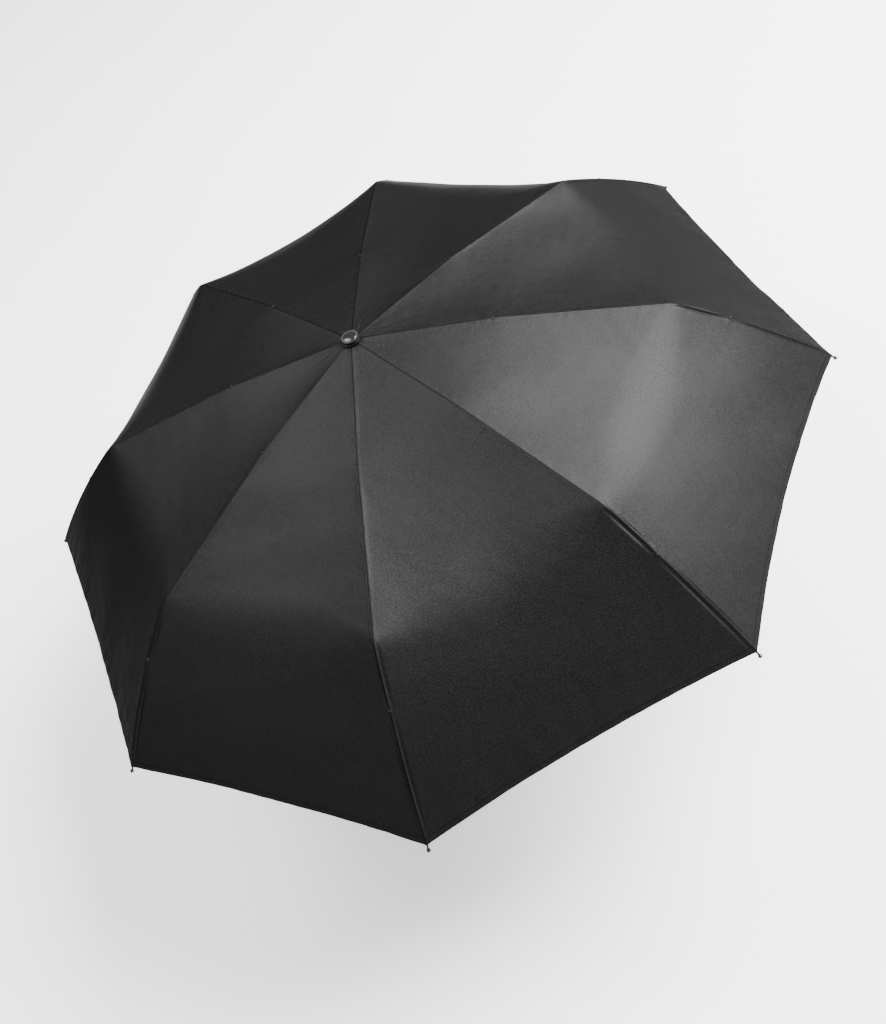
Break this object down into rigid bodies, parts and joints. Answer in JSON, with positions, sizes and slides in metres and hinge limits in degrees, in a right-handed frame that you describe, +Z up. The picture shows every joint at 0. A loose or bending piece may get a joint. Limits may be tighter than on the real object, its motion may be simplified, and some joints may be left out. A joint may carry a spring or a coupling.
{
  "type": "folding umbrella",
  "caption": "Compact folding umbrella, open, with a dark pongee canopy on jointed ribs, a sliding runner and a telescopic shaft.",
  "frame": {"origin": "centre of the handle's flat base", "axes": "+Z up along the shaft towards the top cap; the ribs lie 22.5 degrees either side of +X, +Y, -X and -Y; the runner's button faces -Y"},
  "size_m": [0.8948, 0.8948, 0.5652],
  "materials": {
    "canopy_fabric": "black pongee weave with a soft satin sheen",
    "rib_steel": "plated pressed-steel channel",
    "wire_steel": "black-nickel plated wire",
    "black_plastic": "black moulded plastic",
    "cap_gloss": "glossy blue-black",
    "chrome_trim": "polished ring",
    "shaft_steel": "plated steel tube",
    "grip_rubber": "soft-touch black"
  },
  "bodies": {
    "handle": {"grip": "grip_rubber", "end_cap": "black_plastic", "collar": "black_plastic", "lower_tube": "shaft_steel"},
    "middle_shaft": {"middle_tube": "shaft_steel"},
    "head": {"crown": "black_plastic", "rosette": "black_plastic", "cap_ring": "chrome_trim", "top_cap": "cap_gloss", "upper_tube": "shaft_steel", "canopy_panel_1": "canopy_fabric", "canopy_panel_2": "canopy_fabric", "canopy_panel_3": "canopy_fabric", "canopy_panel_4": "canopy_fabric", "canopy_panel_5": "canopy_fabric", "canopy_panel_6": "canopy_fabric", "canopy_panel_7": "canopy_fabric", "canopy_panel_8": "canopy_fabric"},
    "runner": {"runner": "black_plastic"},
    "release_button": {"runner_button": "black_plastic"},
    "top_rib_1": {"top_rib_1": "rib_steel"},
    "stretcher_1": {"stretcher_1": "rib_steel"},
    "middle_rib_1": {"middle_rib_1": "rib_steel"},
    "control_rod_1": {"control_rod_1": "wire_steel"},
    "outer_rib_1": {"outer_rib_1": "wire_steel"},
    "top_rib_2": {"top_rib_2": "rib_steel"},
    "stretcher_2": {"stretcher_2": "rib_steel"},
    "middle_rib_2": {"middle_rib_2": "rib_steel"},
    "control_rod_2": {"control_rod_2": "wire_steel"},
    "outer_rib_2": {"outer_rib_2": "wire_steel"},
    "top_rib_3": {"top_rib_3": "rib_steel"},
    "stretcher_3": {"stretcher_3": "rib_steel"},
    "middle_rib_3": {"middle_rib_3": "rib_steel"},
    "control_rod_3": {"control_rod_3": "wire_steel"},
    "outer_rib_3": {"outer_rib_3": "wire_steel"},
    "top_rib_4": {"top_rib_4": "rib_steel"},
    "stretcher_4": {"stretcher_4": "rib_steel"},
    "middle_rib_4": {"middle_rib_4": "rib_steel"},
    "control_rod_4": {"control_rod_4": "wire_steel"},
    "outer_rib_4": {"outer_rib_4": "wire_steel"},
    "top_rib_5": {"top_rib_5": "rib_steel"},
    "stretcher_5": {"stretcher_5": "rib_steel"},
    "middle_rib_5": {"middle_rib_5": "rib_steel"},
    "control_rod_5": {"control_rod_5": "wire_steel"},
    "outer_rib_5": {"outer_rib_5": "wire_steel"},
    "top_rib_6": {"top_rib_6": "rib_steel"},
    "stretcher_6": {"stretcher_6": "rib_steel"},
    "middle_rib_6": {"middle_rib_6": "rib_steel"},
    "control_rod_6": {"control_rod_6": "wire_steel"},
    "outer_rib_6": {"outer_rib_6": "wire_steel"},
    "top_rib_7": {"top_rib_7": "rib_steel"},
    "stretcher_7": {"stretcher_7": "rib_steel"},
    "middle_rib_7": {"middle_rib_7": "rib_steel"},
    "control_rod_7": {"control_rod_7": "wire_steel"},
    "outer_rib_7": {"outer_rib_7": "wire_steel"},
    "top_rib_8": {"top_rib_8": "rib_steel"},
    "stretcher_8": {"stretcher_8": "rib_steel"},
    "middle_rib_8": {"middle_rib_8": "rib_steel"},
    "control_rod_8": {"control_rod_8": "wire_steel"},
    "outer_rib_8": {"outer_rib_8": "wire_steel"}
  },
  "joints": [
    {"name": "middle_tube_slide", "type": "slide", "parent": "handle", "child": "middle_shaft", "axis": [0, 0, -1], "range_m": [0, 0.141]},
    {"name": "upper_tube_slide", "type": "slide", "parent": "middle_shaft", "child": "head", "axis": [0, 0, -1], "range_m": [0, 0.146]},
    {"name": "canopy_fold", "type": "hinge", "parent": "head", "child": "top_rib_1", "pos_m": [0.01063, 0.0044, 0.553], "axis": [-0.3827, 0.9239, 0], "range_deg": [0, 78.1], "deforming": ["canopy_panel_1", "canopy_panel_2", "canopy_panel_3", "canopy_panel_4", "canopy_panel_5", "canopy_panel_6", "canopy_panel_7", "canopy_panel_8"]},
    {"name": "stretcher_1_hinge", "type": "hinge", "parent": "top_rib_1", "child": "stretcher_1", "pos_m": [0.08764, 0.0363, 0.5359], "axis": [-0.3827, 0.9239, 0], "range_deg": [-156.22, 0.01]},
    {"name": "middle_rib_1_hinge", "type": "hinge", "parent": "top_rib_1", "child": "middle_rib_1", "pos_m": [0.14078, 0.05831, 0.53347], "axis": [-0.3827, 0.9239, 0], "range_deg": [-183.72, 0.01]},
    {"name": "control_rod_1_hinge", "type": "hinge", "parent": "top_rib_1", "child": "control_rod_1", "pos_m": [0.148, 0.0613, 0.53177], "axis": [-0.3827, 0.9239, 0], "range_deg": [-183.72, 0.01]},
    {"name": "outer_rib_1_hinge", "type": "hinge", "parent": "middle_rib_1", "child": "outer_rib_1", "pos_m": [0.3013, 0.1248, 0.48467], "axis": [-0.3827, 0.9239, 0], "range_deg": [-0.01, 151.82]},
    {"name": "top_rib_2_hinge", "type": "hinge", "parent": "head", "child": "top_rib_2", "pos_m": [0.0044, 0.01063, 0.553], "axis": [-0.9239, 0.3827, 0], "range_deg": [-0.01, 78.11]},
    {"name": "stretcher_2_hinge", "type": "hinge", "parent": "top_rib_2", "child": "stretcher_2", "pos_m": [0.0363, 0.08764, 0.5359], "axis": [-0.9239, 0.3827, 0], "range_deg": [-156.22, 0.01]},
    {"name": "middle_rib_2_hinge", "type": "hinge", "parent": "top_rib_2", "child": "middle_rib_2", "pos_m": [0.05831, 0.14078, 0.53347], "axis": [-0.9239, 0.3827, 0], "range_deg": [-183.72, 0.01]},
    {"name": "control_rod_2_hinge", "type": "hinge", "parent": "top_rib_2", "child": "control_rod_2", "pos_m": [0.0613, 0.148, 0.53177], "axis": [-0.9239, 0.3827, 0], "range_deg": [-183.72, 0.01]},
    {"name": "outer_rib_2_hinge", "type": "hinge", "parent": "middle_rib_2", "child": "outer_rib_2", "pos_m": [0.1248, 0.3013, 0.48467], "axis": [-0.9239, 0.3827, 0], "range_deg": [-0.01, 151.82]},
    {"name": "top_rib_3_hinge", "type": "hinge", "parent": "head", "child": "top_rib_3", "pos_m": [-0.0044, 0.01063, 0.553], "axis": [-0.9239, -0.3827, 0], "range_deg": [-0.01, 78.11]},
    {"name": "stretcher_3_hinge", "type": "hinge", "parent": "top_rib_3", "child": "stretcher_3", "pos_m": [-0.0363, 0.08764, 0.5359], "axis": [-0.9239, -0.3827, 0], "range_deg": [-156.22, 0.01]},
    {"name": "middle_rib_3_hinge", "type": "hinge", "parent": "top_rib_3", "child": "middle_rib_3", "pos_m": [-0.05831, 0.14078, 0.53347], "axis": [-0.9239, -0.3827, 0], "range_deg": [-183.72, 0.01]},
    {"name": "control_rod_3_hinge", "type": "hinge", "parent": "top_rib_3", "child": "control_rod_3", "pos_m": [-0.0613, 0.148, 0.53177], "axis": [-0.9239, -0.3827, 0], "range_deg": [-183.72, 0.01]},
    {"name": "outer_rib_3_hinge", "type": "hinge", "parent": "middle_rib_3", "child": "outer_rib_3", "pos_m": [-0.1248, 0.3013, 0.48467], "axis": [-0.9239, -0.3827, 0], "range_deg": [-0.01, 151.82]},
    {"name": "top_rib_4_hinge", "type": "hinge", "parent": "head", "child": "top_rib_4", "pos_m": [-0.01063, 0.0044, 0.553], "axis": [-0.3827, -0.9239, 0], "range_deg": [-0.01, 78.11]},
    {"name": "stretcher_4_hinge", "type": "hinge", "parent": "top_rib_4", "child": "stretcher_4", "pos_m": [-0.08764, 0.0363, 0.5359], "axis": [-0.3827, -0.9239, 0], "range_deg": [-156.22, 0.01]},
    {"name": "middle_rib_4_hinge", "type": "hinge", "parent": "top_rib_4", "child": "middle_rib_4", "pos_m": [-0.14078, 0.05831, 0.53347], "axis": [-0.3827, -0.9239, 0], "range_deg": [-183.72, 0.01]},
    {"name": "control_rod_4_hinge", "type": "hinge", "parent": "top_rib_4", "child": "control_rod_4", "pos_m": [-0.148, 0.0613, 0.53177], "axis": [-0.3827, -0.9239, 0], "range_deg": [-183.72, 0.01]},
    {"name": "outer_rib_4_hinge", "type": "hinge", "parent": "middle_rib_4", "child": "outer_rib_4", "pos_m": [-0.3013, 0.1248, 0.48467], "axis": [-0.3827, -0.9239, 0], "range_deg": [-0.01, 151.82]},
    {"name": "top_rib_5_hinge", "type": "hinge", "parent": "head", "child": "top_rib_5", "pos_m": [-0.01063, -0.0044, 0.553], "axis": [0.3827, -0.9239, 0], "range_deg": [-0.01, 78.11]},
    {"name": "stretcher_5_hinge", "type": "hinge", "parent": "top_rib_5", "child": "stretcher_5", "pos_m": [-0.08764, -0.0363, 0.5359], "axis": [0.3827, -0.9239, 0], "range_deg": [-156.22, 0.01]},
    {"name": "middle_rib_5_hinge", "type": "hinge", "parent": "top_rib_5", "child": "middle_rib_5", "pos_m": [-0.14078, -0.05831, 0.53347], "axis": [0.3827, -0.9239, 0], "range_deg": [-183.72, 0.01]},
    {"name": "control_rod_5_hinge", "type": "hinge", "parent": "top_rib_5", "child": "control_rod_5", "pos_m": [-0.148, -0.0613, 0.53177], "axis": [0.3827, -0.9239, 0], "range_deg": [-183.72, 0.01]},
    {"name": "outer_rib_5_hinge", "type": "hinge", "parent": "middle_rib_5", "child": "outer_rib_5", "pos_m": [-0.3013, -0.1248, 0.48467], "axis": [0.3827, -0.9239, 0], "range_deg": [-0.01, 151.82]},
    {"name": "top_rib_6_hinge", "type": "hinge", "parent": "head", "child": "top_rib_6", "pos_m": [-0.0044, -0.01063, 0.553], "axis": [0.9239, -0.3827, 0], "range_deg": [-0.01, 78.11]},
    {"name": "stretcher_6_hinge", "type": "hinge", "parent": "top_rib_6", "child": "stretcher_6", "pos_m": [-0.0363, -0.08764, 0.5359], "axis": [0.9239, -0.3827, 0], "range_deg": [-156.22, 0.01]},
    {"name": "middle_rib_6_hinge", "type": "hinge", "parent": "top_rib_6", "child": "middle_rib_6", "pos_m": [-0.05831, -0.14078, 0.53347], "axis": [0.9239, -0.3827, 0], "range_deg": [-183.72, 0.01]},
    {"name": "control_rod_6_hinge", "type": "hinge", "parent": "top_rib_6", "child": "control_rod_6", "pos_m": [-0.0613, -0.148, 0.53177], "axis": [0.9239, -0.3827, 0], "range_deg": [-183.72, 0.01]},
    {"name": "outer_rib_6_hinge", "type": "hinge", "parent": "middle_rib_6", "child": "outer_rib_6", "pos_m": [-0.1248, -0.3013, 0.48467], "axis": [0.9239, -0.3827, 0], "range_deg": [-0.01, 151.82]},
    {"name": "top_rib_7_hinge", "type": "hinge", "parent": "head", "child": "top_rib_7", "pos_m": [0.0044, -0.01063, 0.553], "axis": [0.9239, 0.3827, 0], "range_deg": [-0.01, 78.11]},
    {"name": "stretcher_7_hinge", "type": "hinge", "parent": "top_rib_7", "child": "stretcher_7", "pos_m": [0.0363, -0.08764, 0.5359], "axis": [0.9239, 0.3827, 0], "range_deg": [-156.22, 0.01]},
    {"name": "middle_rib_7_hinge", "type": "hinge", "parent": "top_rib_7", "child": "middle_rib_7", "pos_m": [0.05831, -0.14078, 0.53347], "axis": [0.9239, 0.3827, 0], "range_deg": [-183.72, 0.01]},
    {"name": "control_rod_7_hinge", "type": "hinge", "parent": "top_rib_7", "child": "control_rod_7", "pos_m": [0.0613, -0.148, 0.53177], "axis": [0.9239, 0.3827, 0], "range_deg": [-183.72, 0.01]},
    {"name": "outer_rib_7_hinge", "type": "hinge", "parent": "middle_rib_7", "child": "outer_rib_7", "pos_m": [0.1248, -0.3013, 0.48467], "axis": [0.9239, 0.3827, 0], "range_deg": [-0.01, 151.82]},
    {"name": "top_rib_8_hinge", "type": "hinge", "parent": "head", "child": "top_rib_8", "pos_m": [0.01063, -0.0044, 0.553], "axis": [0.3827, 0.9239, 0], "range_deg": [-0.01, 78.11]},
    {"name": "stretcher_8_hinge", "type": "hinge", "parent": "top_rib_8", "child": "stretcher_8", "pos_m": [0.08764, -0.0363, 0.5359], "axis": [0.3827, 0.9239, 0], "range_deg": [-156.22, 0.01]},
    {"name": "middle_rib_8_hinge", "type": "hinge", "parent": "top_rib_8", "child": "middle_rib_8", "pos_m": [0.14078, -0.05831, 0.53347], "axis": [0.3827, 0.9239, 0], "range_deg": [-183.72, 0.01]},
    {"name": "control_rod_8_hinge", "type": "hinge", "parent": "top_rib_8", "child": "control_rod_8", "pos_m": [0.148, -0.0613, 0.53177], "axis": [0.3827, 0.9239, 0], "range_deg": [-183.72, 0.01]},
    {"name": "outer_rib_8_hinge", "type": "hinge", "parent": "middle_rib_8", "child": "outer_rib_8", "pos_m": [0.3013, -0.1248, 0.48467], "axis": [0.3827, 0.9239, 0], "range_deg": [-0.01, 151.82]},
    {"name": "runner_slide", "type": "slide", "parent": "head", "child": "runner", "axis": [0, 0, 1], "range_m": [-0.136, 0.00001]},
    {"name": "button_press", "type": "slide", "parent": "runner", "child": "release_button", "axis": [0, 1, 0], "range_m": [0, 0.0012], "stiffness_N_per_m": 400, "springref_m": -0.0004}
  ],
  "couplings": [
    {"joint": "stretcher_1_hinge", "follows": "canopy_fold", "ratio": -2},
    {"joint": "middle_rib_1_hinge", "follows": "canopy_fold", "ratio": -2.3521},
    {"joint": "control_rod_1_hinge", "follows": "canopy_fold", "ratio": -2.3521},
    {"joint": "outer_rib_1_hinge", "follows": "canopy_fold", "ratio": 1.9437},
    {"joint": "top_rib_2_hinge", "follows": "canopy_fold", "ratio": 1},
    {"joint": "stretcher_2_hinge", "follows": "canopy_fold", "ratio": -2},
    {"joint": "middle_rib_2_hinge", "follows": "canopy_fold", "ratio": -2.3521},
    {"joint": "control_rod_2_hinge", "follows": "canopy_fold", "ratio": -2.3521},
    {"joint": "outer_rib_2_hinge", "follows": "canopy_fold", "ratio": 1.9437},
    {"joint": "top_rib_3_hinge", "follows": "canopy_fold", "ratio": 1},
    {"joint": "stretcher_3_hinge", "follows": "canopy_fold", "ratio": -2},
    {"joint": "middle_rib_3_hinge", "follows": "canopy_fold", "ratio": -2.3521},
    {"joint": "control_rod_3_hinge", "follows": "canopy_fold", "ratio": -2.3521},
    {"joint": "outer_rib_3_hinge", "follows": "canopy_fold", "ratio": 1.9437},
    {"joint": "top_rib_4_hinge", "follows": "canopy_fold", "ratio": 1},
    {"joint": "stretcher_4_hinge", "follows": "canopy_fold", "ratio": -2},
    {"joint": "middle_rib_4_hinge", "follows": "canopy_fold", "ratio": -2.3521},
    {"joint": "control_rod_4_hinge", "follows": "canopy_fold", "ratio": -2.3521},
    {"joint": "outer_rib_4_hinge", "follows": "canopy_fold", "ratio": 1.9437},
    {"joint": "top_rib_5_hinge", "follows": "canopy_fold", "ratio": 1},
    {"joint": "stretcher_5_hinge", "follows": "canopy_fold", "ratio": -2},
    {"joint": "middle_rib_5_hinge", "follows": "canopy_fold", "ratio": -2.3521},
    {"joint": "control_rod_5_hinge", "follows": "canopy_fold", "ratio": -2.3521},
    {"joint": "outer_rib_5_hinge", "follows": "canopy_fold", "ratio": 1.9437},
    {"joint": "top_rib_6_hinge", "follows": "canopy_fold", "ratio": 1},
    {"joint": "stretcher_6_hinge", "follows": "canopy_fold", "ratio": -2},
    {"joint": "middle_rib_6_hinge", "follows": "canopy_fold", "ratio": -2.3521},
    {"joint": "control_rod_6_hinge", "follows": "canopy_fold", "ratio": -2.3521},
    {"joint": "outer_rib_6_hinge", "follows": "canopy_fold", "ratio": 1.9437},
    {"joint": "top_rib_7_hinge", "follows": "canopy_fold", "ratio": 1},
    {"joint": "stretcher_7_hinge", "follows": "canopy_fold", "ratio": -2},
    {"joint": "middle_rib_7_hinge", "follows": "canopy_fold", "ratio": -2.3521},
    {"joint": "control_rod_7_hinge", "follows": "canopy_fold", "ratio": -2.3521},
    {"joint": "outer_rib_7_hinge", "follows": "canopy_fold", "ratio": 1.9437},
    {"joint": "top_rib_8_hinge", "follows": "canopy_fold", "ratio": 1},
    {"joint": "stretcher_8_hinge", "follows": "canopy_fold", "ratio": -2},
    {"joint": "middle_rib_8_hinge", "follows": "canopy_fold", "ratio": -2.3521},
    {"joint": "control_rod_8_hinge", "follows": "canopy_fold", "ratio": -2.3521},
    {"joint": "outer_rib_8_hinge", "follows": "canopy_fold", "ratio": 1.9437},
    {"joint": "runner_slide", "follows": "canopy_fold", "m_per_rad": -0.099759}
  ]
}
